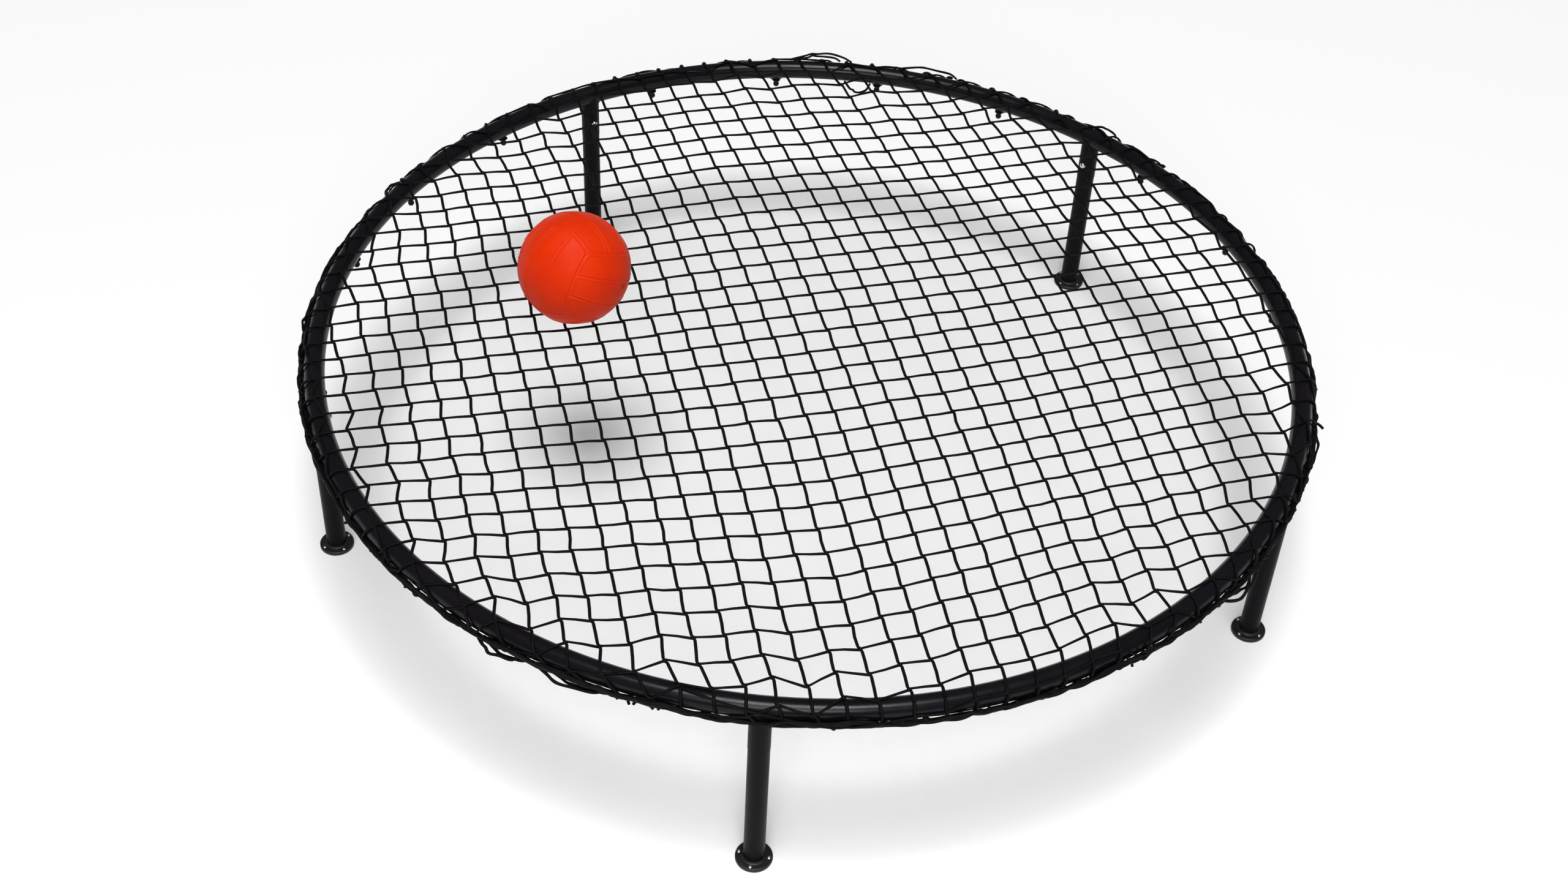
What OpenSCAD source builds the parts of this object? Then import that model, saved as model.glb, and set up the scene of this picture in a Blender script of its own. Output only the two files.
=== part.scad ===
// Roundnet set: a net stretched over a round steel rim on five short legs, with its ball.
// The origin is on the floor under the middle of the ring, +Z is up, and leg 1 is on -Y.
// Lengths are in millimetres and angles in degrees.

/* [Rim] */
// Diameter of the ring, across the tube's centreline
rim_d = 914; // [800:2:1000]
// Outside diameter of the rim tube
rim_tube_d = 19; // [18:0.5:22]
// Wall of the steel tubes
tube_wall = 1; // [0.8:0.1:1.2]
// Height of the top of the rim above the floor
rim_top_h = 203; // [180:1:260]
// Length of the spigot that plugs into the next segment
spigot_len = 30; // [20:1:40]
// Angle from a leg to the joint between two segments
joint_offset = 7; // [5:0.5:9]

/* [Legs] */
// Outside diameter of the socket under the rim
socket_d = 18.8; // [18:0.1:19]
// Distance from the rim's centreline down to the socket's mouth
socket_drop = 48.5; // [44:0.5:60]
// Outside diameter of the leg tube
leg_d = 18.3; // [17.5:0.1:18.6]
// Depth of the leg's reduced end in the socket
insert_len = 38; // [34:1:40]
// Distance from the rim's centreline down to the snap button
button_drop = 31; // [26:0.5:32]
// Diameter of the snap button
button_d = 6.2; // [5:0.1:7]
// Height of the button's dome above the socket
button_proud = 3; // [2:0.1:3.2]

/* [Feet] */
// Diameter of the foot flange
foot_d = 32; // [30:0.5:36]
// Thickness of the foot flange
foot_t = 3.2; // [2.5:0.1:4]
// Number of screws in a foot
foot_screws = 4; // [3:1:6]

/* [Net] */
// Thickness of the netting
net_t = 1.4; // [1:0.1:2]
// Diameter of the gathered hem
hem_d = 5.6; // [4:0.1:6]

/* [Ball] */
// Diameter of the ball
ball_d = 104; // [90:1:120]
// Place of the ball's centre along X
ball_x = -220; // [-300:5:300]
// Place of the ball's centre along Y
ball_y = -9; // [-300:1:300]
// Thickness of the ball's outer skin
skin_t = 2; // [1.5:0.1:3]

/* [Hidden] */
$fn = 48;
SEATED = 0.04;      // gap between pieces that are fixed to each other
RUNNING = 0.08;     // radial gap between pieces that slide
STATIONS = 5;       // legs, and segments of the rim
STEP = 360 / STATIONS;
FIRST_LEG = -90;    // direction of leg 1
HOOK_OFFSETS = [14, 31.5, 45.5, 63];  // hooks after each leg, as angles
FOOT_TWISTS = [37, 0, 0, 0, 0];        // turn of each foot on its leg
SKIRT_SIDES = 12;   // straight sides across the netting on the rim

rim_r = rim_d / 2;
tube_r = rim_tube_d / 2;
bore_r = tube_r - tube_wall;
rim_z = rim_top_h - tube_r;

socket_r = socket_d / 2;
socket_bore_r = socket_r - tube_wall;
mouth_z = rim_z - socket_drop;
leg_r = leg_d / 2;
leg_bore_r = leg_r - tube_wall;
insert_r = socket_bore_r - RUNNING;
insert_bore_r = insert_r - tube_wall;
button_z = rim_z - button_drop;
button_r = button_d / 2;

pad_t = 1.4;        // rubber pad, which stands proud of the flange
pad_proud = 0.6;
foot_r = foot_d / 2;
foot_top = pad_proud + foot_t;
collar = 2.2;       // fillet between the flange and the leg
plug_len = 20;
edge_r = 1.3;       // rounding of the flange's rim
pad_inset = 1.4;    // from the flange's rim to the pad
screw_circle_r = (leg_r + collar + foot_r - edge_r) / 2;
screw_r = 1.5;
screw_hole_r = 0.9;

net_gap = 0.1;      // between the netting and the rim, and between the ball and the netting
net_z = rim_top_h + net_gap;
skirt_end = -acos(min(1, (socket_r + SEATED) / (tube_r + net_gap)));  // from level, clear of the sockets
hem_angle = skirt_end - 14;
ball_r = ball_d / 2;
ball_z = net_z + net_t + net_gap + ball_r;
valve_dir = [0, 92, -21];  // rotation that turns +Z to the valve
valve_len = 8;
valve_r = 2.2;
valve_body_r = 3.4;

// Direction of leg n, from the middle of the ring
function leg_angle(n) = FIRST_LEG + (n - 1) * STEP;

// Puts its children on the axis of leg n, with +X pointing away from the middle
module at_leg(n) {
    rotate(leg_angle(n)) translate([rim_r, 0, 0]) children();
}

// Part of a ring of the rim's radius, whose section is the child
module sweep(start, turn) {
    translate([0, 0, rim_z]) rotate(start) rotate_extrude(angle = turn, $fn = 180)
        translate([rim_r, 0]) children();
}

// The rim tube's outer shape, a little oversize, for cutting what is welded to it
module rim_clearance(start, turn) {
    sweep(start, turn) circle(tube_r + SEATED);
}

// Flat ring between two radii
module annulus(outer, inner) {
    difference() {
        circle(outer);
        circle(inner);
    }
}

module pipe(outer, inner, low, high) {
    translate([0, 0, low]) difference() {
        cylinder(r = outer, h = high - low);
        translate([0, 0, -1]) cylinder(r = inner, h = high - low + 2);
    }
}

// One fifth of the rim: a curved tube with a spigot at its far end
module rim_segment(n) {
    spigot_r = bore_r - RUNNING;
    spigot_turn = spigot_len / rim_r * 180 / PI;
    seam = 0.02;       // gap to the next segment, as an angle
    shoulder = 0.4;    // where the bore narrows to the spigot's, as an angle
    overrun = 1;       // how far a shape runs into its neighbour, as an angle
    start = leg_angle(n) + joint_offset - STEP;
    end = start + STEP;
    color("#1d1b1e") difference() {
        union() {
            sweep(start, STEP - seam) circle(tube_r);
            sweep(end - overrun, spigot_turn + overrun) circle(spigot_r);
        }
        sweep(start - overrun, STEP + overrun - shoulder) circle(bore_r);
        sweep(end - 3 * overrun, spigot_turn + 6 * overrun) circle(spigot_r - tube_wall);
    }
}

// Socket that the leg plugs into, coped to fit under the rim
module leg_socket(n) {
    color("#1f1d20") difference() {
        at_leg(n) difference() {
            pipe(socket_r, socket_bore_r, mouth_z, rim_z);
            translate([0, 0, button_z]) rotate([0, -90, 0]) cylinder(r = button_r + 0.3, h = leg_d);
            translate([0, 0, mouth_z + 4]) rotate([-90, 0, 0]) cylinder(r = 0.8, h = leg_d);
        }
        rim_clearance(leg_angle(n) - 4, 8);
    }
}

// Peg that holds the net, a stem with a round head
module hook() {
    stem_r = 2.6;
    head_r = 3.2;
    base_r = 4;
    base_t = 1.6;
    reach = 10.5;     // below the rim
    lean = 9;
    rotate([0, lean, 0]) translate([0, 0, -tube_r - reach]) {
        translate([0, 0, head_r]) sphere(head_r, $fn = 32);
        translate([0, 0, head_r]) cylinder(r = stem_r, h = reach);
        translate([0, 0, reach - base_t]) cylinder(r = base_r, h = base_r);
    }
}

// The four hooks of one segment, welded under it
module net_hooks(n) {
    color("#19181a") for (offset_angle = HOOK_OFFSETS) {
        angle = leg_angle(n) + offset_angle - STEP;
        difference() {
            rotate(angle) translate([rim_r, 0, rim_z]) hook();
            rim_clearance(angle - 2, 4);
        }
    }
}

// Leg: a tube whose top end is reduced to slide into the socket
module leg_tube(n) {
    shoulder = mouth_z - 3;     // where the bore narrows
    color("#1f1d20") at_leg(n) difference() {
        union() {
            pipe(leg_r, leg_bore_r, foot_top, mouth_z - SEATED);
            pipe(leg_r, insert_bore_r, shoulder, mouth_z - SEATED);
            pipe(insert_r, insert_bore_r, shoulder, mouth_z + insert_len);
        }
        translate([0, 0, button_z]) rotate([0, -90, 0]) cylinder(r = button_r + 0.1, h = leg_d);
    }
}

// Snap button: a domed pin with a head that stops it inside the leg
module snap_button(n) {
    head_r = 4.1;
    head_t = 0.8;
    head_at = 5.2;
    tip = socket_r + button_proud;
    color("#b9b2a4") at_leg(n) translate([0, 0, button_z]) rotate([0, -90, 0]) {
        translate([0, 0, head_at]) cylinder(r = head_r, h = head_t);
        translate([0, 0, head_at]) cylinder(r = button_r, h = tip - button_r - head_at);
        translate([0, 0, tip - button_r]) sphere(button_r);
    }
}

// Flat spring bent to a U, which pushes the button out
module snap_spring(n) {
    strip_t = 0.5;
    strip_w = 5;
    front = 5.15;      // arm behind the button, from the leg's axis
    back = 6.6;        // arm against the leg's far wall
    front_len = 14;
    back_len = 18;
    bend_r = (front + back) / 2;
    bend_z = button_z - 9;
    color("#8d8d8f") at_leg(n) translate([(back - front) / 2, 0, bend_z]) rotate([90, 0, 0]) {
        for (side = [-1, 1])
            translate([side * (bend_r - strip_t / 2) - strip_t / 2, 0, -strip_w / 2])
                cube([strip_t, side < 0 ? front_len : back_len, strip_w]);
        difference() {
            cylinder(r = bend_r, h = strip_w, center = true);
            cylinder(r = bend_r - strip_t, h = strip_w + 1, center = true);
            translate([-leg_r, 0, -strip_w]) cube([leg_d, leg_d, strip_w * 2]);
        }
    }
}

// Half section of the flange, its edge rounded and its top filleted to the leg
module foot_section() {
    below = 1;         // how far the fillet's shape runs into the flange
    fillet_in = leg_r + SEATED;
    difference() {
        union() {
            translate([0, pad_proud]) square([foot_r - edge_r, foot_t]);
            translate([0, pad_proud]) square([foot_r, foot_t - edge_r]);
            translate([foot_r - edge_r, foot_top - edge_r]) circle(edge_r);
            translate([fillet_in, foot_top - below]) square([collar, collar + below]);
        }
        translate([fillet_in + collar, foot_top + collar]) circle(collar - 0.3);
        translate([-below, 0]) square([foot_r - pad_inset + below, pad_t]);
        translate([-foot_d, -below]) square([foot_d, foot_d]);
    }
}

// Foot: a moulded flange with a plug that fills the end of the tube
module foot_flange(n) {
    color("#131314") at_leg(n) difference() {
        union() {
            rotate_extrude() foot_section();
            translate([0, 0, foot_top - 1]) cylinder(r = leg_bore_r - SEATED, h = plug_len + 1);
        }
        screw_places(n) translate([0, 0, -1]) cylinder(r = screw_hole_r, h = foot_top + 2);
    }
}

// Rubber pad set into the underside of the foot
module foot_pad(n) {
    color("#0e0e0e") at_leg(n) cylinder(r = foot_r - pad_inset - SEATED, h = pad_t - SEATED);
}

// Places of the screws of foot n, in the leg's own directions
module screw_places(n) {
    first = 45 + FOOT_TWISTS[n - 1] - leg_angle(n);
    for (k = [0:foot_screws - 1])
        rotate(first + k * 360 / foot_screws) translate([screw_circle_r, 0, 0]) children();
}

// The foot's screws, each with a cross recess in its head
module foot_screws(n) {
    head_t = 0.9;
    dome_r = 3;
    seat_z = foot_top + SEATED;
    recess = [screw_r, 0.4, head_t / 2];     // length, width and depth of one arm
    color("#a7a5a2") at_leg(n) screw_places(n) difference() {
        union() {
            translate([0, 0, pad_t + 0.1]) cylinder(r = screw_hole_r - SEATED, h = foot_top - pad_t);
            intersection() {
                translate([0, 0, seat_z]) cylinder(r = screw_r, h = head_t);
                translate([0, 0, seat_z + head_t - dome_r]) sphere(dome_r);
            }
        }
        for (turn = [0, 90])
            rotate(turn) translate([-recess.x / 2, -recess.y / 2, seat_z + head_t - recess.z])
                cube([recess.x, recess.y, 1]);
    }
}

// Netting inside the ring, as a thin closed disc
module net_panel() {
    color("#101012") translate([0, 0, net_z]) cylinder(r = rim_r - SEATED, h = net_t, $fn = 180);
}

// Points on an arc about the origin, for a section made of short straight sides
function arc_points(r, from, to) =
    [for (k = [0:SKIRT_SIDES]) let (a = from + (to - from) * k / SKIRT_SIDES) [r * cos(a), r * sin(a)]];

// Netting where it passes over the rim and down its outer side
module net_skirt() {
    inner = tube_r + net_gap;
    color("#101012") sweep(0, 360)
        polygon(concat(arc_points(inner, skirt_end, 90), arc_points(inner + net_t, 90, skirt_end)));
}

// Gathered edge of the net, on the outer side of the rim, with room left for the sockets
module net_hem() {
    reach = tube_r + net_gap + hem_d / 2;
    color("#0c0c0e") difference() {
        sweep(0, 360) rotate(hem_angle) translate([reach, 0]) circle(hem_d / 2);
        for (n = [1:STATIONS])
            at_leg(n) translate([0, 0, mouth_z]) cylinder(r = socket_r + net_gap * 3, h = socket_drop);
    }
}

module at_ball() {
    translate([ball_x, ball_y, ball_z]) children();
}

// Puts its children at the valve's inner end, with +Z pointing out of the ball
module at_valve() {
    at_ball() rotate(valve_dir) translate([0, 0, ball_r - valve_len]) children();
}

module ball_skin() {
    color("#dd360f") difference() {
        at_ball() difference() {
            sphere(ball_r, $fn = 96);
            sphere(ball_r - skin_t, $fn = 96);
        }
        at_valve() cylinder(r = valve_r, h = valve_len * 2);
    }
}

module ball_bladder() {
    outer = ball_r - skin_t - net_gap;
    bladder_t = 0.8;
    color("#2a2a2c") difference() {
        at_ball() difference() {
            sphere(outer, $fn = 96);
            sphere(outer - bladder_t, $fn = 96);
        }
        at_valve() cylinder(r = valve_body_r, h = valve_len * 2);
    }
}

// Rubber valve: a stem in the skin, and a body behind it
module ball_valve() {
    stem_len = 7.6;
    body_len = 5.2;
    bore_depth = 3.6;
    color("#1b1b1c") at_valve() difference() {
        union() {
            cylinder(r = valve_r - SEATED, h = stem_len);
            cylinder(r = valve_body_r - SEATED, h = body_len);
        }
        translate([0, 0, stem_len - bore_depth]) cylinder(r = 0.7, h = valve_len);
    }
}

for (n = [1:STATIONS]) {
    rim_segment(n);
    leg_socket(n);
    net_hooks(n);
    leg_tube(n);
    snap_button(n);
    snap_spring(n);
    foot_flange(n);
    foot_pad(n);
    foot_screws(n);
}
net_panel();
net_skirt();
net_hem();
ball_skin();
ball_bladder();
ball_valve();
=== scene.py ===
"""Looks of the roundnet set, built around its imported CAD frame.

Lengths are in metres in the row frame: the floor is z = 0 and the ring's middle is above the origin.
Millimetres are written as n * MM.
"""

import math

import bmesh
import bpy
import numpy as np
from mathutils import Matrix, Vector


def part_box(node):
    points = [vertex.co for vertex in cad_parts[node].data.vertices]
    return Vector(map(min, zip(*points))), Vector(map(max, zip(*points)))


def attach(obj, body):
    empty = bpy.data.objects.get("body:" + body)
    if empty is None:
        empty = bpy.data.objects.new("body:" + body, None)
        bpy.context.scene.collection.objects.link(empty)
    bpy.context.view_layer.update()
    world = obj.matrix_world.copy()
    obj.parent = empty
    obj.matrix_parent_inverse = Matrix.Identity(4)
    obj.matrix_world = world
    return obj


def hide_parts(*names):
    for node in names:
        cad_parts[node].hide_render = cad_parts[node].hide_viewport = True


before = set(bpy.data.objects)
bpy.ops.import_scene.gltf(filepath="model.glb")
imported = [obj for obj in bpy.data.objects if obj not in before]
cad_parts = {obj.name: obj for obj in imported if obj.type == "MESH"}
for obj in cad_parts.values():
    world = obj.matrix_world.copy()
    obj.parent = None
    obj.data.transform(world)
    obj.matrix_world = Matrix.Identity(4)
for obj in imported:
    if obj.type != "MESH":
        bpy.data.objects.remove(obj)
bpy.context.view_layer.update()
MM = 0.001
scene = bpy.context.scene

# ---------------------------------------------------------------- places, from the CAD

STATIONS = range(1, 6)


def middle(node):
    lo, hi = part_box(node)
    return (lo + hi) / 2


rim_lo = np.min([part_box(f"rim_segment_{n}")[0] for n in STATIONS], axis=0)
rim_hi = np.max([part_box(f"rim_segment_{n}")[1] for n in STATIONS], axis=0)
TUBE_R = float(rim_hi[2] - rim_lo[2]) / 2
RIM_Z = float(rim_hi[2] + rim_lo[2]) / 2
RIM_R = math.hypot(middle("leg_tube_1").x, middle("leg_tube_1").y)
SOCKET_R = (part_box("leg_socket_1")[1].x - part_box("leg_socket_1")[0].x) / 2
BALL_MID = middle("ball_skin")
BALL_R = (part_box("ball_skin")[1].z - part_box("ball_skin")[0].z) / 2
VALVE_DIR = (middle("ball_valve") - BALL_MID).normalized()


def leg_turn(n):
    p = middle(f"leg_tube_{n}")
    return math.atan2(p.y, p.x)


# ---------------------------------------------------------------- camera, lights, floor


# the photo's camera, fitted to the ring, the legs and the feet
CAMERA_AT = (0.07026, -1.53462, 1.46167)
CAMERA_RIGHT = Vector((0.994894, 0.093348, 0.038364))
CAMERA_UP = Vector((-0.091239, 0.669417, 0.737263))
CAMERA_SENSOR = 36                      # millimetres
CAMERA_LENS = 48.713

SKY_STRENGTH = 0.14
SUN_STRENGTH = 2.8
SUN_SPREAD = math.radians(26)
SUN_TILT = math.radians(12)             # from overhead, towards the back
FRONT_LIGHT_WATTS = 25
FRONT_LIGHT_SIZE = 1.1
FLOOR_SIZE = 600
FLOOR_GREY = 0.86


def add_camera():
    data = bpy.data.cameras.new("camera")
    cam = bpy.data.objects.new("camera", data)
    scene.collection.objects.link(cam)
    back = CAMERA_RIGHT.cross(CAMERA_UP)
    turn = Matrix((CAMERA_RIGHT, CAMERA_UP, back)).transposed().to_4x4()
    cam.matrix_world = Matrix.Translation(CAMERA_AT) @ turn
    data.sensor_width = CAMERA_SENSOR
    data.lens = CAMERA_LENS
    data.clip_start = 0.05
    data.clip_end = 60
    scene.camera = cam


def add_area(name, at, aim, size, watts):
    data = bpy.data.lights.new(name, "AREA")
    data.shape = "DISK"
    data.size = size
    data.energy = watts
    lamp = bpy.data.objects.new(name, data)
    lamp.location = at
    lamp.rotation_mode = "QUATERNION"
    lamp.rotation_quaternion = (Vector(aim) - Vector(at)).to_track_quat("-Z", "Y")
    scene.collection.objects.link(lamp)


def add_lights():
    scene.view_settings.view_transform = "Standard"
    world = bpy.data.worlds.new("studio")
    scene.world = world
    world.use_nodes = True
    sky = world.node_tree.nodes["Background"]
    sky.inputs["Color"].default_value = (1, 1, 1, 1)
    sky.inputs["Strength"].default_value = SKY_STRENGTH
    sun = bpy.data.lights.new("overhead", "SUN")
    sun.energy = SUN_STRENGTH
    sun.angle = SUN_SPREAD
    lamp = bpy.data.objects.new("overhead", sun)
    lamp.rotation_euler = (SUN_TILT, 0, 0)
    scene.collection.objects.link(lamp)
    add_area("front", (0.1, -2.1, 1.75), (0, 0, 0.2), FRONT_LIGHT_SIZE, FRONT_LIGHT_WATTS)


def add_floor():
    bpy.ops.mesh.primitive_plane_add(size=FLOOR_SIZE)
    floor = bpy.context.object
    floor.name = "floor"
    m = bpy.data.materials.new("floor")
    m.use_nodes = True
    shader = m.node_tree.nodes["Principled BSDF"]
    shader.inputs["Base Color"].default_value = (FLOOR_GREY, FLOOR_GREY, FLOOR_GREY, 1)
    shader.inputs["Roughness"].default_value = 0.9
    shader.inputs["Specular IOR Level"].default_value = 0.0
    floor.data.materials.append(m)


# ---------------------------------------------------------------- materials


class Nodes:
    """Short ways to build one material's node tree."""

    def __init__(self, name):
        self.material = bpy.data.materials.new(name)
        self.material.use_nodes = True
        self.tree = self.material.node_tree
        self.shader = self.tree.nodes["Principled BSDF"]
        self.place = self.add("ShaderNodeTexCoord").outputs["Object"]

    def add(self, kind, **settings):
        node = self.tree.nodes.new(kind)
        for key, value in settings.items():
            setattr(node, key, value)
        return node

    def link(self, a, b):
        self.tree.links.new(a, b)

    def noise(self, scale, detail=3.0, rough=0.5):
        node = self.add("ShaderNodeTexNoise")
        node.inputs["Scale"].default_value = scale
        node.inputs["Detail"].default_value = detail
        node.inputs["Roughness"].default_value = rough
        self.link(self.place, node.inputs["Vector"])
        return node.outputs["Fac"]

    def spread(self, value, low, high):
        """Stretches a noise's usual range over low to high."""
        node = self.add("ShaderNodeMapRange")
        node.inputs["From Min"].default_value = 0.3
        node.inputs["From Max"].default_value = 0.7
        node.inputs["To Min"].default_value = low
        node.inputs["To Max"].default_value = high
        self.link(value, node.inputs["Value"])
        return node.outputs["Result"]

    def colours(self, value, *stops):
        node = self.add("ShaderNodeValToRGB")
        ramp = node.color_ramp
        while len(ramp.elements) < len(stops):
            ramp.elements.new(0.5)
        for element, (at, colour) in zip(ramp.elements, stops):
            element.position = at
            element.color = (*colour, 1)
        self.link(value, node.inputs["Fac"])
        return node.outputs["Color"]

    def bump(self, *layers):
        """Each layer is (height value, strength, depth in metres)."""
        normal = None
        for value, strength, depth in layers:
            node = self.add("ShaderNodeBump")
            node.inputs["Strength"].default_value = strength
            node.inputs["Distance"].default_value = depth
            self.link(value, node.inputs["Height"])
            if normal is not None:
                self.link(normal, node.inputs["Normal"])
            normal = node.outputs["Normal"]
        self.link(normal, self.shader.inputs["Normal"])

    def set(self, **values):
        for key, value in values.items():
            self.shader.inputs[key.replace("_", " ")].default_value = value

    def drive(self, key, value):
        self.link(value, self.shader.inputs[key])


def powder_coat(name, dark, light, gloss, shine):
    """Satin powder coat: slight orange peel, and uneven gloss."""
    m = Nodes(name)
    cloud = m.noise(9, 4, 0.6)
    peel = m.noise(1500, 2, 0.5)
    m.drive("Base Color", m.colours(cloud, (0.3, dark), (0.7, light)))
    m.drive("Roughness", m.spread(m.noise(38, 5, 0.65), gloss - 0.05, gloss + 0.08))
    m.set(Specular_IOR_Level=shine)
    m.bump((peel, 0.12, 0.0002), (m.noise(210, 2), 0.05, 0.0006))
    return m.material


def moulded(name, dark, light, rough):
    m = Nodes(name)
    m.drive("Base Color", m.colours(m.noise(60, 4), (0.3, dark), (0.7, light)))
    m.drive("Roughness", m.spread(m.noise(130, 4), rough - 0.06, rough + 0.08))
    m.set(Specular_IOR_Level=0.35)
    m.bump((m.noise(2600, 3), 0.25, 0.0002))
    return m.material


def bare_metal(name, dark, light, rough, grain):
    m = Nodes(name)
    m.drive("Base Color", m.colours(m.noise(240, 4), (0.3, dark), (0.7, light)))
    m.drive("Roughness", m.spread(m.noise(900, 4), rough - 0.05, rough + 0.1))
    m.set(Metallic=1.0)
    m.bump((m.noise(grain, 3), 0.12, 0.0001))
    return m.material


TWIST = 3.3                             # radians that the yarn's plies turn in a millimetre


def netting():
    """Black twisted nylon. The strand attribute gives millimetres along it, the turn round it and its own number."""
    m = Nodes("netting")
    strand = m.add("ShaderNodeAttribute", attribute_name="strand").outputs["Vector"]
    split = m.add("ShaderNodeSeparateXYZ")
    m.link(strand, split.inputs["Vector"])
    twist = m.add("ShaderNodeMath", operation="MULTIPLY_ADD")
    m.link(split.outputs["X"], twist.inputs[0])
    twist.inputs[1].default_value = TWIST
    m.link(split.outputs["Y"], twist.inputs[2])
    wave = m.add("ShaderNodeMath", operation="SINE")
    m.link(twist.outputs["Value"], wave.inputs[0])
    fuzz = m.noise(2200, 3, 0.6)
    dark, light = (0.0012, 0.0012, 0.0015), (0.003, 0.0028, 0.0034)
    m.drive("Base Color", m.colours(m.noise(45, 3), (0.3, dark), (0.7, light)))
    m.drive("Roughness", m.spread(fuzz, 0.5, 0.75))
    m.set(Specular_IOR_Level=0.1)
    m.bump((wave.outputs["Value"], 0.5, 0.0002), (fuzz, 0.3, 0.0002))
    return m.material


def vinyl():
    """Soft satin vinyl, orange-red, with a fine pebble."""
    m = Nodes("vinyl")
    cloud = m.noise(26, 4, 0.6)
    m.drive("Base Color", m.colours(cloud, (0.3, (0.6, 0.022, 0.0008)), (0.7, (0.66, 0.029, 0.0014))))
    m.drive("Roughness", m.spread(m.noise(90, 4), 0.42, 0.52))
    m.set(Specular_IOR_Level=0.08)
    m.bump((m.noise(1900, 2), 0.1, 0.0002), (m.noise(420, 3), 0.06, 0.0004))
    return m.material


def rubber(name, dark, light):
    m = Nodes(name)
    m.drive("Base Color", m.colours(m.noise(120, 4), (0.3, dark), (0.7, light)))
    m.drive("Roughness", m.spread(m.noise(300, 4), 0.7, 0.9))
    m.bump((m.noise(3000, 3), 0.3, 0.0002))
    return m.material


def wear(node, material):
    """Gives a CAD node's object this material."""
    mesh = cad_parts[node].data
    mesh.materials.clear()
    mesh.materials.append(material)


# ---------------------------------------------------------------- mesh helpers


def edit_mesh(piece, gap, turn_out=False):
    """Joins vertices closer than gap, and can turn every face outwards."""
    bm = bmesh.new()
    bm.from_mesh(piece.data)
    bmesh.ops.remove_doubles(bm, verts=bm.verts, dist=gap)
    if turn_out:
        bmesh.ops.recalc_face_normals(bm, faces=bm.faces)
    bm.to_mesh(piece.data)
    bm.free()


def make_piece(name, verts, faces, material, body, replaces=(), strand=None):
    mesh = bpy.data.meshes.new(name)
    mesh.from_pydata(verts.tolist(), [], faces)
    mesh.materials.append(material)
    mesh.polygons.foreach_set("use_smooth", [True] * len(mesh.polygons))
    if strand is not None:
        layer = mesh.attributes.new("strand", "FLOAT_VECTOR", "POINT")
        layer.data.foreach_set("vector", strand.astype(np.float32).ravel())
    mesh.update()
    piece = bpy.data.objects.new(name, mesh)
    scene.collection.objects.link(piece)
    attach(piece, body)
    if replaces:
        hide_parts(*replaces)
    return piece


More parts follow.
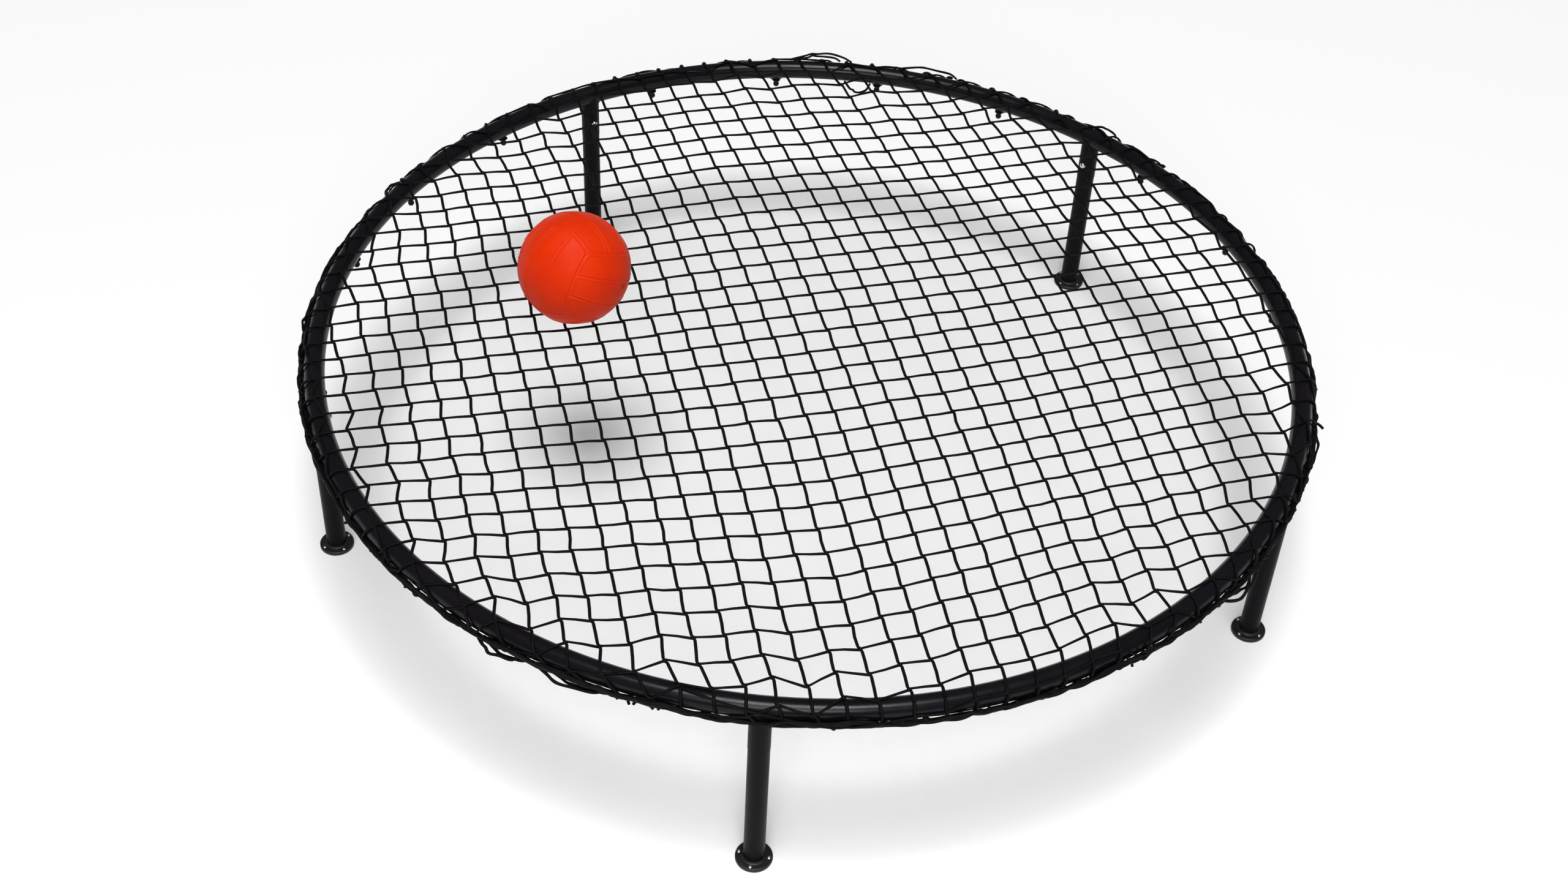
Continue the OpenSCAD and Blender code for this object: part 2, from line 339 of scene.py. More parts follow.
class Soup:
    """Gathers tubes and blobs into one mesh."""

    def __init__(self):
        self.verts, self.faces, self.strand = [], [], []
        self.count = 0
        self.number = 0

    def tubes(self, paths, radii, normals, sides=6, caps=True):
        """paths (n, m, 3), radii (n, m) and surface normals (n, m, 3): n tubes of m rings each."""
        n, m, _ = paths.shape
        ahead = np.empty_like(paths)
        ahead[:, 1:-1] = paths[:, 2:] - paths[:, :-2]
        ahead[:, 0] = paths[:, 1] - paths[:, 0]
        ahead[:, -1] = paths[:, -1] - paths[:, -2]
        ahead /= np.linalg.norm(ahead, axis=2, keepdims=True) + 1e-12
        side = np.cross(ahead, normals)
        side /= np.linalg.norm(side, axis=2, keepdims=True) + 1e-12
        up = np.cross(side, ahead)
        turn = np.arange(sides) / sides * 2 * math.pi
        ring = (side[:, :, None] * np.cos(turn)[None, None, :, None]
                + up[:, :, None] * np.sin(turn)[None, None, :, None])
        v = paths[:, :, None] + ring * radii[:, :, None, None]
        lengths = np.linalg.norm(np.diff(paths, axis=1), axis=2)
        along = np.concatenate([np.zeros((n, 1)), np.cumsum(lengths, 1)], 1)
        s = np.empty((n, m, sides, 3))
        s[..., 0] = along[:, :, None] / MM
        s[..., 1] = turn[None, None, :]
        s[..., 2] = (self.number + np.arange(n))[:, None, None]
        self.number += n
        base = self.count
        self.verts.append(v.reshape(-1, 3))
        self.strand.append(s.reshape(-1, 3))
        i, j, k = np.meshgrid(np.arange(n), np.arange(m - 1), np.arange(sides), indexing="ij")
        a = base + (i * m + j) * sides + k
        b = base + (i * m + j) * sides + (k + 1) % sides
        quads = np.stack([a, b, b + sides, a + sides], -1).reshape(-1, 4)
        self.faces += quads.tolist()
        self.count += n * m * sides
        if caps:
            tips = np.concatenate([paths[:, 0] - ahead[:, 0] * radii[:, :1] * 0.5,
                                   paths[:, -1] + ahead[:, -1] * radii[:, -1:] * 0.5])
            self.verts.append(tips)
            self.strand.append(np.zeros((2 * n, 3)))
            for t in range(n):
                first = base + t * m * sides
                last = first + (m - 1) * sides
                for here in range(sides):
                    after = (here + 1) % sides
                    self.faces.append([first + after, first + here, self.count + t])
                    self.faces.append([last + here, last + after, self.count + n + t])
            self.count += 2 * n

    def blobs(self, mids, ahead, normals, size, sides=7, rings=5):
        """Small rounded lumps: size is (n, 3), half-lengths along, across and up."""
        n = len(mids)
        side = np.cross(ahead, normals)
        side /= np.linalg.norm(side, axis=1, keepdims=True) + 1e-12
        up = np.cross(side, ahead)
        ahead = ahead / (np.linalg.norm(ahead, axis=1, keepdims=True) + 1e-12)
        lat = np.linspace(-math.pi / 2, math.pi / 2, rings + 2)[1:-1]
        turn = np.arange(sides) / sides * 2 * math.pi
        a = np.sin(lat)[:, None].repeat(sides, 1)
        c = np.cos(lat)[:, None] * np.cos(turn)
        u = np.cos(lat)[:, None] * np.sin(turn)
        local = np.stack([a, c, u], -1).reshape(-1, 3)
        poles = np.array([[-1, 0, 0], [1, 0, 0]])
        local = np.concatenate([local, poles])
        axes = np.stack([ahead * size[:, :1], side * size[:, 1:2], up * size[:, 2:3]], 1)
        v = mids[:, None] + np.einsum("pk,nkd->npd", local, axes)
        self.verts.append(v.reshape(-1, 3))
        self.strand.append(np.zeros((v.shape[0] * v.shape[1], 3)))
        per = len(local)
        quads = []
        for r in range(rings - 1):
            for k in range(sides):
                a0 = r * sides + k
                b0 = r * sides + (k + 1) % sides
                quads.append([a0, b0, b0 + sides, a0 + sides])
        for k in range(sides):
            quads.append([(k + 1) % sides, k, per - 2])
            top = (rings - 1) * sides
            quads.append([top + k, top + (k + 1) % sides, per - 1])
        for t in range(n):
            o = self.count + t * per
            self.faces += [[o + x for x in q] for q in quads]
        self.count += n * per

    def piece(self, name, material, body, slot, replaces=()):
        return make_piece(name, np.concatenate(self.verts), self.faces, material, body, replaces,
                          strand=np.concatenate(self.strand))


# ---------------------------------------------------------------- the netting, laid out flat

MESH = 25.8 * MM
ROW_TURN = 20.5                         # direction of the rows and columns, in degrees
COL_TURN = 111.0
KNOT = np.array([6.0, -124.4]) * MM     # place of one knot, which sets where all the others are
HALF = 26                               # knots each way from the middle one
THICK = 1.42 * MM                       # half the thickness of a column strand
WIDEST = 1.3                            # the figure that stands for THICK where radii are listed
CROWN = TUBE_R + THICK                  # from the rim's centreline to a strand on it
BALL_DIP = 1.7 * MM                     # how deep the ball sinks into the net
DIP_REACH = 45 * MM
TUG = 6.5 * MM                          # uneven pull at the end of each row and column
TUG_FADE = 2.6                          # meshes over which it fades
SAG = 0.35 * MM
STEP = 1.1 * MM                         # a column steps this far each way at a joint
APART = 0.5 * MM
BEND = 3.2 * MM                         # distance from a joint over which a strand turns
rng = np.random.default_rng(11)


def ease(x, a, b):
    t = np.clip((x - a) / (b - a), 0, 1)
    return t * t * (3 - 2 * t)


def row_angle(x, y):
    """Direction of the rows in degrees: they swing as the net was pulled unevenly over the ring."""
    x, y = x / MM, y / MM
    low = ease(-y, 60, 380)
    high = ease(y, 40, 230)
    fold = ease(x, 30, 50)
    left = ease(x, -420, -60)
    a = ROW_TURN + low * ((1 - fold) * (-4 - 10 * left) + fold * (1 + 6 * ease(x, 60, 200)))
    a += high * (7.5 * (1 - ease(x, -150, -95)) - 2.5 * ease(x, -130, -80) * (1 - ease(x, 40, 130))
                 + 3 * ease(x, 90, 160) * (1 - ease(x, 180, 300)))
    return a + 5 * ease(x, 120, 260) * np.exp(-(((y + 60) / 120) ** 2))


def col_angle(x, y):
    x, y = x / MM, y / MM
    b = COL_TURN + 5.5 * ease(y, 0, 230) - 3 * ease(-y, 40, 330)
    b -= 7 * ease(x, 200, 330) * np.exp(-(((y + 20) / 110) ** 2))
    return b + 4 * ease(-x, 120, 380) * ease(-y, -60, 200)


def lay_knots():
    """Knots of the flat net on a grid, whose bars are one mesh long and lie in the directions above."""
    size = 2 * HALF + 1
    steps = np.arange(-HALF, HALF + 1)
    i, j = np.meshgrid(steps, steps, indexing="ij")
    r, c = math.radians(ROW_TURN), math.radians(COL_TURN)
    p = KNOT + MESH * np.stack([i * math.cos(r) + j * math.cos(c), i * math.sin(r) + j * math.sin(c)], -1)
    for turn in range(600):
        moved = np.zeros_like(p)
        weight = np.zeros((size, size, 1))
        if turn % 100 == 0:
            m = (p[1:] + p[:-1]) / 2
            t = np.radians(row_angle(m[..., 0], m[..., 1]))
            row = MESH * np.stack([np.cos(t), np.sin(t)], -1)
            m = (p[:, 1:] + p[:, :-1]) / 2
            t = np.radians(col_angle(m[..., 0], m[..., 1]))
            col = MESH * np.stack([np.cos(t), np.sin(t)], -1)
        moved[1:] += p[:-1] + row
        moved[:-1] += p[1:] - row
        moved[:, 1:] += p[:, :-1] + col
        moved[:, :-1] += p[:, 1:] - col
        weight[1:] += 1
        weight[:-1] += 1
        weight[:, 1:] += 1
        weight[:, :-1] += 1
        p = p + 0.98 * (moved / weight - p)
        p += KNOT - p[HALF, HALF]
    return p


def tug(p, strength, fade):
    """Pulls each row and column along itself by an uneven amount at its two ends, fading inwards."""
    out = p.copy()
    away = np.hypot(p[..., 0], p[..., 1])
    steps = np.arange(p.shape[0])
    for axis in (0, 1):
        for line in steps:
            at = (slice(None), line) if axis == 0 else (line, slice(None))
            q = p[at]
            inside = np.flatnonzero(away[at] < RIM_R)
            if len(inside) < 3:
                continue
            a, b = inside[0], inside[-1]
            t = (q[b] - q[a]) / np.linalg.norm(q[b] - q[a])
            for end, sign in ((a, 1), (b, -1)):
                w = np.exp(-np.maximum((steps - end) * sign, 0) / fade)
                pull = np.clip(rng.normal(0, 0.62), -1.3, 1.3) * strength
                out[at] += (w * pull)[:, None] * t
    return out


def wrap(flat, lift):
    """Puts flat points (..., 2) on the net's real surface: level inside the ring, then over the rim tube and down.
    lift is how far they stand off it. Returns the points and the surface's outward direction."""
    s = np.hypot(flat[..., 0], flat[..., 1])
    out = flat / s[..., None]
    turn = np.clip((s - RIM_R) / CROWN, 0, math.radians(170))
    reach = CROWN + lift
    r = np.where(s < RIM_R, s, RIM_R + reach * np.sin(turn))
    z = RIM_Z + np.where(s < RIM_R, CROWN + lift, reach * np.cos(turn))
    z = z - BALL_DIP * np.exp(-(((flat - np.array(BALL_MID)[:2]) ** 2).sum(-1) / DIP_REACH**2))
    place = np.concatenate([out * r[..., None], z[..., None]], -1)
    normal = np.concatenate([out * np.sin(turn)[..., None], np.cos(turn)[..., None]], -1)
    return place, normal


def hem_reach(theta):
    """How far past the crown the net's edge lies, measured over the tube."""
    wave = 5 * np.sin(5 * theta + 0.7) + 6 * np.sin(11 * theta + 2.1) + 3 * np.sin(23 * theta)
    front = 26 * np.exp(-((((theta + math.pi / 2 + 0.03 + math.pi) % (2 * math.pi) - math.pi) / 0.1) ** 2))
    return RIM_R + CROWN * np.radians(122 + wave + front)


def unit(v):
    return v / (np.linalg.norm(v, axis=-1, keepdims=True) + 1e-12)


def build_net():
    p = tug(lay_knots(), TUG, TUG_FADE)
    p += rng.normal(0, SAG, p.shape)
    s = np.hypot(p[..., 0], p[..., 1])
    theta = np.arctan2(p[..., 1], p[..., 0])
    edge = hem_reach(theta)
    kept = s < edge + 21 * MM
    beyond = s > edge
    lift = np.where(beyond, rng.uniform(0, 2.2 * MM, s.shape), 0)
    s_new = np.where(beyond, edge + rng.normal(0, 1.2 * MM, s.shape), s)
    p = p * (s_new / s)[..., None]

    row = np.zeros_like(p)
    row[1:-1] = p[2:] - p[:-2]
    row = unit(row + 1e-9)
    col = np.stack([-row[..., 1], row[..., 0]], -1)

    def neighbour(a, di, dj):
        return np.roll(a, (-di, -dj), (0, 1))

    enter_a = p - row * STEP            # from the column above
    leave_a = p + row * 1.7 * MM + col * APART
    enter_b = p - row * 1.7 * MM - col * APART
    leave_b = p + row * STEP            # down the column below
    up_mid = (enter_a + neighbour(leave_b, 0, 1)) / 2
    down_mid = (leave_b + neighbour(enter_a, 0, -1)) / 2
    right_mid = (leave_a + neighbour(enter_b, 1, 0)) / 2
    left_mid = (enter_b + neighbour(leave_a, -1, 0)) / 2

    row_sag = rng.normal(0, SAG, s.shape)      # by the bar to the right
    col_sag = rng.normal(0, SAG, s.shape)      # by the bar below
    right_mid = right_mid + col * row_sag[..., None]
    left_mid = left_mid + neighbour(col * row_sag[..., None], -1, 0)
    down_mid = down_mid + row * col_sag[..., None]
    up_mid = up_mid + neighbour(row * col_sag[..., None], 0, 1)

    def both(di, dj):
        return kept & neighbour(kept, di, dj)

    def gathered(di, dj):
        return beyond & neighbour(beyond, di, dj)

    def lift_at(di, dj, bulge):
        return (lift + neighbour(lift, di, dj)) / 2 + np.where(gathered(di, dj), bulge, 0)

    bulge_row = rng.uniform(0.3 * MM, 2.6 * MM, s.shape)
    bulge_col = rng.uniform(0.3 * MM, 2.6 * MM, s.shape)

    soup = Soup()
    inner = slice(1, -1)

    def strand(role):
        """Every joint has two strands: "a" comes down a column and leaves along a row, and "b" does the reverse."""
        if role == "a":
            start, turn_in, turn_out, end = up_mid, enter_a, leave_a, right_mid
            corner = p - row * 0.9 * MM + col * 0.3 * MM
            first, second = both(0, 1), both(1, 0)
            lift_start = lift_at(0, 1, neighbour(bulge_col, 0, 1))
            lift_end = lift_at(1, 0, bulge_row)
            radii = [1.3, 1.3, 1.28, 1.26, 1.22, 1.16, 1.06, 0.95, 0.93, 0.97, 1.03]
        else:
            start, turn_in, turn_out, end = left_mid, enter_b, leave_b, down_mid
            corner = p + row * 0.9 * MM - col * 0.3 * MM
            first, second = both(-1, 0), both(0, -1)
            lift_start = lift_at(-1, 0, neighbour(bulge_row, -1, 0))
            lift_end = lift_at(0, -1, bulge_col)
            radii = [1.03, 1.09, 1.15, 1.18, 1.2, 1.22, 1.25, 1.28, 1.3, 1.3, 1.3]
        if role == "a":
            c1 = turn_in + unit(start - turn_in) * BEND
            c2 = turn_out
        else:
            c1 = turn_in
            c2 = turn_out + unit(end - turn_out) * BEND
        pts = [start, start + (c1 - start) / 3, start + (c1 - start) * 2 / 3, c1]
        for t in (0.25, 0.5, 0.75):
            pts.append((1 - t) ** 2 * c1 + 2 * t * (1 - t) * corner + t * t * c2)
        pts += [c2, c2 + (end - c2) / 3, c2 + (end - c2) * 2 / 3, end]
        flat = np.stack(pts, 2)
        share = np.linspace(0, 1, len(pts))
        lifts = np.stack([np.where(x < 0.5, (1 - x * 2) * lift_start + (x * 2) * lift,
                                   (2 - x * 2) * lift + (x * 2 - 1) * lift_end) for x in share], 2)
        place, normal = wrap(flat, lifts + (0.12 if role == "a" else -0.12) * MM * np.sin(share * math.pi))
        place = clear_of_sockets(place, THICK)
        radii = np.array(radii) * THICK / WIDEST
        whole = first & second & kept
        whole = whole[inner, inner]
        m = len(pts)
        r = np.broadcast_to(radii, (*s.shape, m))[inner, inner]
        soup.tubes(place[inner, inner][whole], r[whole], normal[inner, inner][whole], caps=False)
        for ok, part in ((first & ~second, slice(0, 6)), (second & ~first, slice(5, m))):
            ok = (ok & kept)[inner, inner]
            if ok.any():
                soup.tubes(place[inner, inner][ok][:, part], r[ok][:, part], normal[inner, inner][ok][:, part])

    strand("a")
    strand("b")

    place, normal = wrap(p, lift)
    ahead, _ = wrap(p + row * 0.5 * MM, lift)
    joined = kept & (both(1, 0) | both(-1, 0) | both(0, 1) | both(0, -1))
    joined[0] = joined[-1] = False
    joined[:, 0] = joined[:, -1] = False
    n = int(joined.sum())
    size = np.stack([rng.uniform(2.0, 2.6, n), rng.uniform(1.15, 1.5, n), rng.uniform(1.0, 1.25, n)], -1) * MM
    swell = np.where(beyond[joined], rng.uniform(1.0, 1.6, n), 1.0)[:, None]
    diag = unit((ahead - place)[joined])
    soup.blobs(place[joined], diag, normal[joined], size * swell * THICK / (WIDEST * MM))
    return soup


# ---------------------------------------------------------------- the gathered edge of the net

HOOKS = (14, 31.5, 45.5, 63)            # hooks after each leg, in degrees
HOOK_LEAN = math.radians(9)
STEM_R = 2.6 * MM


def around(theta, alpha, reach):
    """Points by the rim. theta goes round the ring, alpha over the tube outwards from its top, and reach is the
    distance from the tube's middle."""
    r = RIM_R + reach * np.sin(alpha)
    place = np.stack([r * np.cos(theta), r * np.sin(theta), RIM_Z + reach * np.cos(alpha)], -1)
    normal = np.stack([np.sin(alpha) * np.cos(theta), np.sin(alpha) * np.sin(theta), np.cos(alpha)], -1)
    return place, normal


def hem_alpha(theta):
    return (hem_reach(theta) - RIM_R) / CROWN


def wander(theta, low, high):
    """A smooth random wave of size 1 around the ring, with low to high bumps in a turn."""
    bumps = rng.integers(low, high, 9)
    starts = rng.uniform(0, 2 * math.pi, 9)
    return sum(np.sin(b * theta + a) for b, a in zip(bumps, starts)) / 2.1


def clear_of_sockets(place, pad):
    """Pushes points out of the five sockets."""
    place = place.copy()
    for n in STATIONS:
        axis = middle(f"leg_tube_{n}")
        away = place[..., :2] - np.array([axis.x, axis.y])
        far = np.linalg.norm(away, axis=-1, keepdims=True) + 1e-9
        push = np.maximum(SOCKET_R + pad - far, 0) * ease(RIM_Z - place[..., 2:], -4 * MM, 1 * MM)
        place[..., :2] += away / far * push
    return place


def rounded(points, count):
    """A smooth curve of count points through the given ones."""
    points = np.asarray(points, float)
    padded = np.concatenate([2 * points[:1] - points[1:2], points, 2 * points[-1:] - points[-2:-1]])
    at = np.linspace(0, len(points) - 1 - 1e-6, count)
    k = at.astype(int)
    t = (at - k)[:, None]
    a, b, c, d = padded[k], padded[k + 1], padded[k + 2], padded[k + 3]
    return 0.5 * (2 * b + (c - a) * t + (2 * a - 5 * b + 4 * c - d) * t ** 2 + (3 * b - a - 3 * c + d) * t ** 3)


def strand_along(soup, marks, radius, count=26):
    """One strand through marks of (theta in degrees, alpha in degrees, millimetres off the tube)."""
    marks = rounded(marks, count)
    reach = TUBE_R + THICK + marks[:, 2] * MM
    place, normal = around(np.radians(marks[:, 0]), np.radians(marks[:, 1]), reach)
    place = clear_of_sockets(place, radius)
    size = radius * (1 + 0.06 * np.sin(np.linspace(0, 19, count)))
    soup.tubes(place[None], size[None], normal[None])


def loop(soup, start, stop, alpha, rise, bow=0.0, radius=1.25 * MM):
    """A slack loop that leaves the tube at start and comes back at stop, both in degrees."""
    share = np.linspace(0, 1, 7)
    arch = np.sin(share * math.pi)
    sway = rng.normal(0, 0.12, 7)
    marks = np.stack([start + (stop - start) * (share + 0.06 * np.sin(share * 9)),
                      alpha + bow * arch + 14 * sway, rise * arch ** 0.7 * (1 + sway)], -1)
    strand_along(soup, marks, radius)


def cut_end(soup, theta, alpha, length, off=1.0):
    """A short cut end of yarn that sticks out; angles in degrees, lengths in millimetres."""
    a = rng.normal(0, 1, 2)
    marks = [(theta, alpha, off), (theta + 0.12 * a[0], alpha + 2 * a[1], off + length / 2),
             (theta + 0.35 * a[0], alpha + 6 * a[1], off + length)]
    strand_along(soup, marks, 1.3 * MM, count=7)


def build_hem():
    soup = Soup()
    theta = np.linspace(-math.pi, math.pi, 1300)
    for k in range(7):
        alpha = hem_alpha(theta) + np.radians(4 - 4 * k + 8 * wander(theta, 8, 50) + 3 * wander(theta, 50, 110))
        off = THICK * (1 + 0.28 * k) + 0.7 * MM * np.abs(wander(theta, 10, 90))
        place, normal = around(theta, alpha, TUBE_R + off)
        radius = np.clip(1.5 + 0.3 * wander(theta, 20, 160), 1.0, 2.3) * MM
        soup.tubes(clear_of_sockets(place, THICK)[None], radius[None], normal[None])

    count = 150
    theta = rng.uniform(-math.pi, math.pi, count)
    alpha = hem_alpha(theta) + np.radians(rng.normal(-7, 11, count))
    place, normal = around(theta, alpha, TUBE_R + rng.uniform(2.0, 4.6, count) * MM)
    along = np.stack([-np.sin(theta), np.cos(theta), rng.normal(0, 0.5, count)], -1)
    size = rng.uniform((2.0, 1.8, 1.6), (4.6, 3.0, 2.6), (count, 3)) * MM
    soup.blobs(clear_of_sockets(place, 2 * MM), along, normal, size)

    for turn in rng.uniform(-180, 180, 44):
        if abs((turn + 90 + 180) % 360 - 180) > 12:
            lean = math.degrees(hem_alpha(np.array(math.radians(turn))))
            cut_end(soup, turn, lean + rng.normal(-14, 14), rng.uniform(1.5, 5.5))
    for turn in rng.uniform(-180, 180, 26):
        if abs((turn + 90 + 180) % 360 - 180) > 14:
            loop(soup, turn, turn + rng.uniform(1.6, 4.2), rng.uniform(84, 124), rng.uniform(1.5, 4), radius=1.35 * MM)

    # loops and ends that stand out
    loop(soup, 97.5, 89.5, 40, 6.5, radius=1.2 * MM)
    loop(soup, 96.5, 91, 34, 4.5)
    loop(soup, 82.5, 75, 40, 5.5)
    loop(soup, 90, 86.5, -125, 10, bow=-30)
    loop(soup, 54.5, 51, 45, 4.5)
    cut_end(soup, -7.2, 92, 8)
    loop(soup, -8, -14.6, 96, 6)
    loop(soup, -30.5, -38, 122, 13, bow=10, radius=1.5 * MM)
    loop(soup, -31.5, -36.5, 128, 9, bow=6, radius=1.4 * MM)
    loop(soup, -120.5, -115, 126, 9, radius=1.5 * MM)
    loop(soup, -119.5, -114, 134, 6, radius=1.4 * MM)
    loop(soup, -113.5, -105.5, 128, 7.5, radius=1.5 * MM)
    loop(soup, -112, -104.5, 136, 5, radius=1.3 * MM)
    for turn in (-103.8, -103.1, -102.2, -100.9, -99.9):
        cut_end(soup, turn, 138, rng.uniform(3, 6))
    for turn in (152, 157, 161, 166, 170.5, 175, 179.5, 184, 189, 193.5, 198):
        loop(soup, turn, turn + rng.uniform(2.6, 4.4), rng.uniform(80, 104), rng.uniform(3, 5.5), radius=1.3 * MM)
    slanting = [(-98, 8, 0.4), (-94, 40, 0.5), (-89, 78, 0.5), (-84, 112, 0.6), (-80, 130, 0.6)]
    strand_along(soup, slanting, 1.1 * MM, count=60)

    # loops that hold the edge on the hooks
    for n in STATIONS:
        for hook in HOOKS:
            mid = math.degrees(leg_turn(n)) + hook - 72
            hem = math.degrees(hem_alpha(np.array(math.radians(mid))))
            per = math.degrees(MM / RIM_R)
            low = 180 + math.degrees(HOOK_LEAN)
            ring = STEM_R + THICK
            side = math.degrees(math.asin(ring / (TUBE_R + 2.1 * MM)))
            half = [(-15, hem, 1.0), (-8, hem + 30, 1.2), (-3.7, low - 8, 0.9), (-2.4, low + side * 0.7, 0.95)]
            marks = half + [(0, low + side, 1.0)] + [(-u, a, off) for u, a, off in reversed(half)]
            strand_along(soup, [(mid + u * per, a, off) for u, a, off in marks], THICK, count=60)
    return soup


def build_welds(material):
    """The weld bead round the top of each socket, along the curve where it meets the rim."""
    soup = Soup()
    phi = np.linspace(0, 2 * math.pi, 121)
    for n in STATIONS:
        turn = leg_turn(n)
        out = np.array([math.cos(turn), math.sin(turn), 0])
        side = np.array([-math.sin(turn), math.cos(turn), 0])
        up = np.array([0, 0, 1.0])
        x = SOCKET_R * np.cos(phi)
        y = SOCKET_R * np.sin(phi)
        drop = np.sqrt(np.maximum(TUBE_R ** 2 - x ** 2, 0))
        flat = np.stack([x, y, -drop], -1)
        axis = middle(f"leg_tube_{n}")
        place = np.array([axis.x, axis.y, RIM_Z]) + flat[:, :1] * out + flat[:, 1:2] * side + flat[:, 2:] * up
        normal = np.cos(phi)[:, None] * out + np.sin(phi)[:, None] * side - 0.8 * up
        radius = (1.05 + 0.16 * np.sin(phi * 21) + 0.08 * np.sin(phi * 5 + n)) * MM
        soup.tubes(place[None], radius[None], unit(normal)[None], sides=8)
    return soup


# ---------------------------------------------------------------- the ball


GROUP_WIDE = 0.643                      # half a group's greatest width, as a sine
STRIP_SHARE = 0.36                      # half of the middle strip's width, as a share of half the group's
SOFTEN = 55                             # how tightly the ribs turn at a strip's corners
RIB_INSET, RIB_HEIGHT, RIB_WIDTH = 1.75, 0.42, 0.62     # millimetres
GROOVE_DEPTH, GROOVE_WIDTH = 0.2, 0.8
LEANS = (190, 75, 313)                  # the groups' directions from their corner, in degrees in the photo's view
FINENESS = 210                          # faces along each edge of the cube that the ball's mesh comes from
TINY = 1e-6


def group_side(u):
    """How far a group's long side lies from its middle line, as a sine, at u along it. It's widest half-way."""
    return GROUP_WIDE - (GROUP_WIDE - 1 / math.sqrt(3)) * 3 * u * u


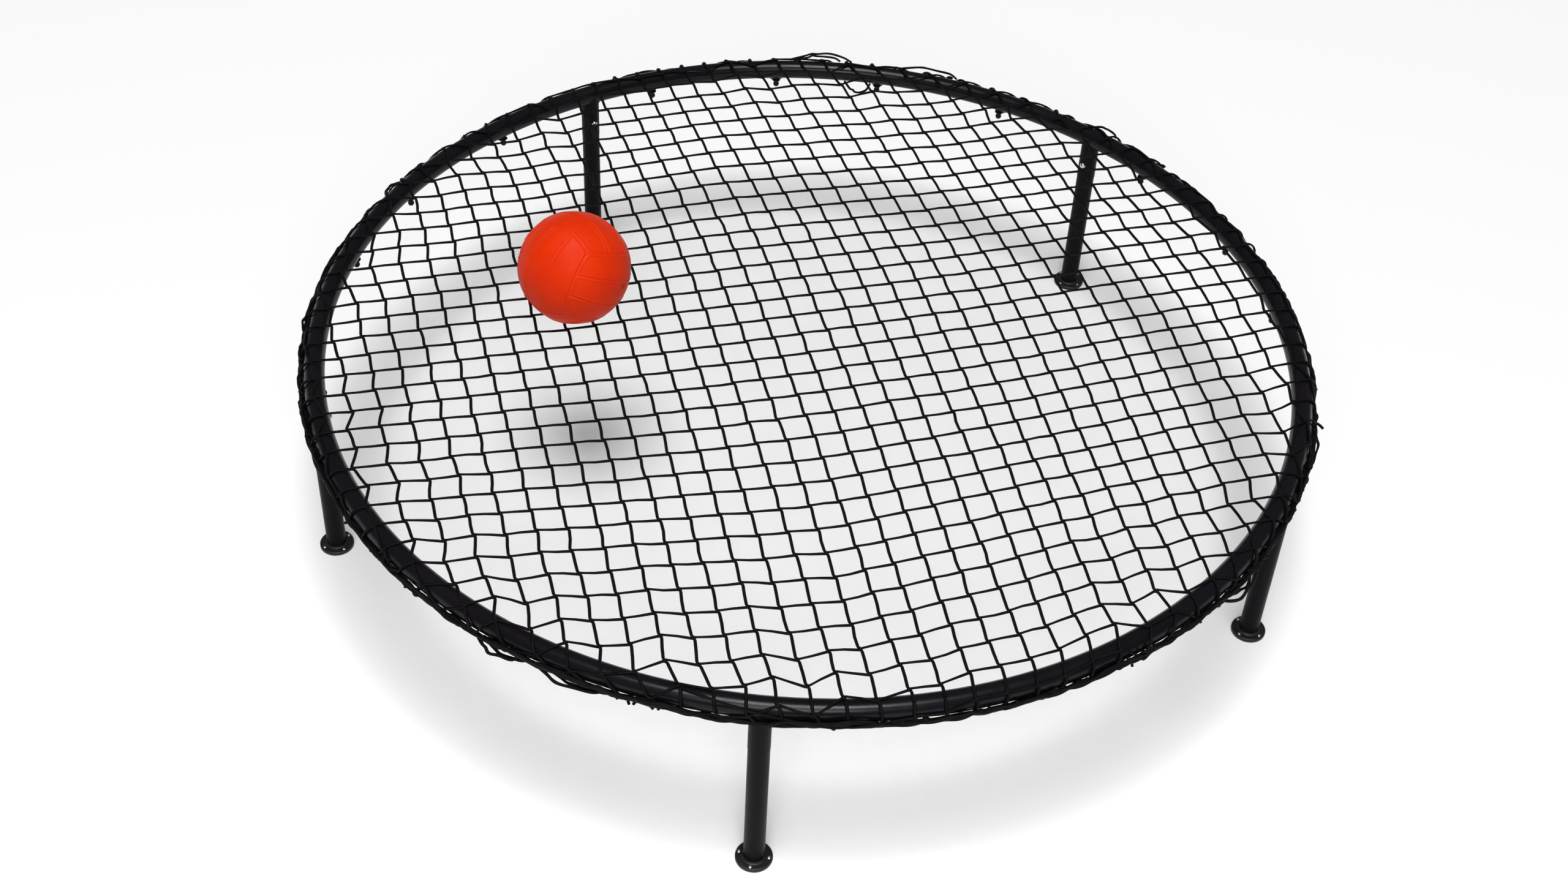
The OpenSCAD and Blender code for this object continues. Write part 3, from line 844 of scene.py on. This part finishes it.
def build_ball(material):
    """The cover has six groups of three strips, like a volleyball. Each strip is edged by its own raised rib."""
    toward = (scene.camera.matrix_world.translation - BALL_MID).normalized()
    right = scene.camera.matrix_world.col[0].to_3d()
    right = (right - toward * right.dot(toward)).normalized()
    view = Matrix((right, toward.cross(right), toward)).transposed()
    # where three groups meet: rightwards, up and towards the camera
    corner = Vector((0.242, 0.225, 0.946)).normalized()
    basis = []
    for lean in LEANS:
        away = Vector((math.cos(math.radians(lean)), math.sin(math.radians(lean)), 0))
        away = (away - corner * away.dot(corner)).normalized()
        basis.append(view @ (corner / math.sqrt(3) + away * math.sqrt(2 / 3)).normalized())
    # makes the three directions square to each other
    u, _, v = np.linalg.svd(np.array(basis))
    basis = u @ v
    count = FINENESS
    t = np.tan(np.linspace(-math.pi / 4, math.pi / 4, count + 1))
    a, b = np.meshgrid(t, t, indexing="ij")
    verts, faces = [], []
    for axis in range(3):
        for sign in (1, -1):
            local = np.zeros((*a.shape, 3))
            local[..., axis] = sign
            local[..., (axis + 1) % 3] = a * sign
            local[..., (axis + 2) % 3] = b
            verts.append((local / np.linalg.norm(local, axis=-1, keepdims=True)).reshape(-1, 3))
            i, j = np.meshgrid(np.arange(count), np.arange(count), indexing="ij")
            q = (len(verts) - 1) * (count + 1) ** 2 + i * (count + 1) + j
            faces.append(np.stack([q, q + (count + 1), q + (count + 2), q + 1], -1).reshape(-1, 4))
    local = np.concatenate(verts)
    inner = np.full(len(local), 1.0)        # distance in from the edge of a strip, in ball radii
    for axis in range(3):
        main, u, v = (np.abs(local[:, (axis + k) % 3]) for k in range(3))
        side = (group_side(u) - v) / np.sqrt(1 - v * v + TINY)
        end = (main - group_side(v)) / np.sqrt(1 - main * main + TINY)
        seam = np.abs(v - STRIP_SHARE * group_side(u)) / np.sqrt(1 - v * v + TINY)
        nearest = np.exp(-SOFTEN * side) + np.exp(-SOFTEN * end) + np.exp(-SOFTEN * seam)
        soft = -np.log(nearest) / SOFTEN
        inner = np.where((side >= 0) & (end >= 0), soft, inner)
    dist = inner * BALL_R / MM
    rib = RIB_HEIGHT * np.exp(-(((dist - RIB_INSET) / RIB_WIDTH) ** 2))
    h = rib - GROOVE_DEPTH * np.exp(-((dist / GROOVE_WIDTH) ** 2))
    d = local @ basis
    valve = np.array(VALVE_DIR)
    off = np.arccos(np.clip(d @ valve, -1, 1)) * BALL_R / MM
    # the ribs stop short of the valve, which lies in a hole with a slight lip
    h = h * ease(off, 4, 7) - 1.5 * (1 - ease(off, 2.0, 3.1)) + 0.25 * np.exp(-(((off - 3.9) / 0.6) ** 2))
    place = np.array(BALL_MID) + d * (BALL_R - 0.25 * MM + h * MM)[:, None]
    faces = np.concatenate(faces).tolist()
    cover = make_piece("ball_cover", place, faces, material, "ball", ("ball_skin",))
    edit_mesh(cover, 0.02 * MM, turn_out=True)


# ---------------------------------------------------------------- build everything

add_camera()
add_lights()
add_floor()

rim_paint = powder_coat("rim_powder_coat", (0.0036, 0.003, 0.0044), (0.006, 0.005, 0.0072), 0.24, 0.16)
leg_paint = powder_coat("leg_powder_coat", (0.004, 0.0031, 0.0044), (0.0062, 0.0049, 0.0067), 0.36, 0.05)
nickel = bare_metal("nickel", (0.62, 0.57, 0.48), (0.78, 0.74, 0.66), 0.2, 800)
spring = bare_metal("spring_steel", (0.3, 0.31, 0.33), (0.42, 0.43, 0.45), 0.35, 1200)
zinc = bare_metal("screw_zinc", (0.45, 0.45, 0.46), (0.62, 0.62, 0.63), 0.32, 1500)
foot_black = moulded("foot_plastic", (0.0045, 0.0045, 0.0052), (0.008, 0.008, 0.009), 0.45)
pad_black = rubber("pad_rubber", (0.008, 0.008, 0.008), (0.014, 0.014, 0.014))
bladder_black = rubber("bladder_rubber", (0.02, 0.02, 0.02), (0.035, 0.035, 0.035))
valve_red = rubber("valve_rubber", (0.32, 0.018, 0.005), (0.4, 0.024, 0.007))
net_black = netting()
ball_vinyl = vinyl()

for n in STATIONS:
    for kind, material in (("rim_segment", rim_paint), ("leg_socket", leg_paint), ("net_hooks", rim_paint),
                           ("leg_tube", leg_paint), ("snap_button", nickel), ("snap_spring", spring),
                           ("foot_flange", foot_black), ("foot_pad", pad_black), ("foot_screws", zinc)):
        wear(f"{kind}_{n}", material)
wear("ball_bladder", bladder_black)
wear("ball_valve", valve_red)

net = build_net().piece("netting", net_black, "frame", "netting", ("net_panel", "net_skirt"))
edit_mesh(net, 0.01 * MM)               # joins strands where they meet in the middle of a bar
build_hem().piece("net_edge", net_black, "frame", "netting", ("net_hem",))
build_welds(leg_paint).piece("weld_beads", leg_paint, "frame", "rim_steel")
build_ball(ball_vinyl)
